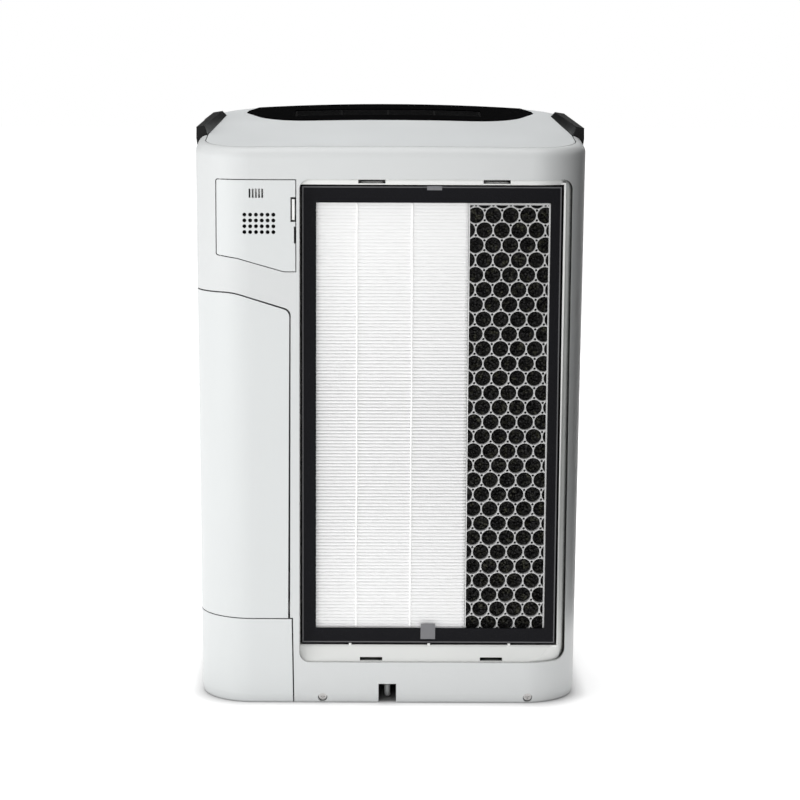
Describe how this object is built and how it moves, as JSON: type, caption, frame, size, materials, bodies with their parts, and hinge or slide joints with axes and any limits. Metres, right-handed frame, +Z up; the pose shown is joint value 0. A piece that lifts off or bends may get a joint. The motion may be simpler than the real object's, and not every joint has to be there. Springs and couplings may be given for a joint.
{
  "type": "air purifier",
  "caption": "Floor-standing air purifier with humidifier, back cover off: white case with grips, black filter frame with pleated sheet and honeycomb carbon, side water tank, tray and cord.",
  "frame": {"origin": "on the floor under the middle of the case, without the free cord", "axes": "+Z up; -Y towards the open back with the filter; +X towards the side away from the tank"},
  "size_m": [0.3844, 0.378, 0.5818],
  "materials": {
    "body_white": "satin",
    "panel_white": "satin",
    "deck_black": "gloss",
    "grille_black": "satin",
    "handle_grey": "satin",
    "inner_white": "satin",
    "case_black": "satin",
    "seal_foam": "matte",
    "media_white": "matte",
    "glue_white": "satin",
    "comb_grey": "satin",
    "carbon": "matte",
    "tab_grey": "matte",
    "case_grey": "satin",
    "steel": "brushed",
    "brass": "polished",
    "inner_black": "satin",
    "board_green": "satin",
    "tank_clear": "gloss",
    "wick": "matte",
    "rubber_dark": "matte",
    "cord_grey": "satin"
  },
  "bodies": {
    "housing": {"main_housing": "body_white", "front_panel": "body_white", "top_cap": "panel_white", "top_deck": "deck_black", "touch_panel": "deck_black", "outlet_grille": "grille_black", "handle_left": "handle_grey", "handle_right": "handle_grey", "filter_bay": "inner_white", "inlet_grille": "inner_white", "sensor_box": "inner_black", "dust_sensor": "inner_black", "odour_sensor": "steel", "tank_bay": "inner_white", "fan_scroll": "inner_white", "bell_mouth": "inner_white", "motor_case": "steel", "motor_mount": "steel", "outlet_duct": "inner_white", "control_board": "board_green", "power_box": "inner_black", "power_board": "board_green", "base_pan": "inner_black", "feet": "rubber_dark", "base_screws": "steel", "door_hinge_pins": "steel", "cord_gland": "cord_grey", "cord_run": "cord_grey", "cord_coil": "cord_grey", "cord_tie": "rubber_dark", "cord_tail": "cord_grey", "plug_body": "cord_grey", "plug_pins": "brass"},
    "filter_cartridge": {"filter_case": "case_grey", "filter_frame": "case_black", "frame_seal": "seal_foam", "hepa_media": "media_white", "glue_beads": "glue_white", "media_divider": "glue_white", "carbon_honeycomb": "comb_grey", "carbon_granules": "carbon", "pull_tab_top": "tab_grey", "pull_tab_bottom": "tab_grey"},
    "sensor_door": {"sensor_door": "panel_white"},
    "door_latch": {"door_latch": "inner_white"},
    "water_tank": {"tank_panel": "panel_white", "tank_vessel": "tank_clear", "tank_base": "tank_clear"},
    "tank_cap": {"tank_cap": "inner_white"},
    "water_tray": {"tray_face": "panel_white", "tray_pan": "inner_white", "wick_filter": "wick"},
    "fan": {"impeller": "inner_black", "motor_shaft": "steel", "impeller_nut": "steel"}
  },
  "joints": [
    {"name": "cartridge_slide", "type": "slide", "parent": "housing", "child": "filter_cartridge", "axis": [0, -1, 0], "range_m": [0, 0.09]},
    {"name": "sensor_door_hinge", "type": "hinge", "parent": "housing", "child": "sensor_door", "pos_m": [-0.164, -0.1201, 0.48], "axis": [0, 0, -1], "range_deg": [0, 100]},
    {"name": "door_latch_slide", "type": "slide", "parent": "sensor_door", "child": "door_latch", "axis": [-1, 0, 0], "range_m": [0, 0.0012], "stiffness_N_per_m": 300},
    {"name": "tank_slide", "type": "slide", "parent": "housing", "child": "water_tank", "axis": [-1, 0, 0], "range_m": [0, 0.15]},
    {"name": "tank_cap_turn", "type": "hinge", "parent": "water_tank", "child": "tank_cap", "pos_m": [-0.14, -0.05, 0.09], "axis": [0, 0, 1], "range_deg": [0, 120]},
    {"name": "tray_slide", "type": "slide", "parent": "housing", "child": "water_tray", "axis": [-1, 0, 0], "range_m": [0, 0.15]},
    {"name": "fan_spin", "type": "hinge", "parent": "housing", "child": "fan", "pos_m": [0.042, 0, 0.262], "axis": [0, 1, 0], "continuous": true}
  ]
}
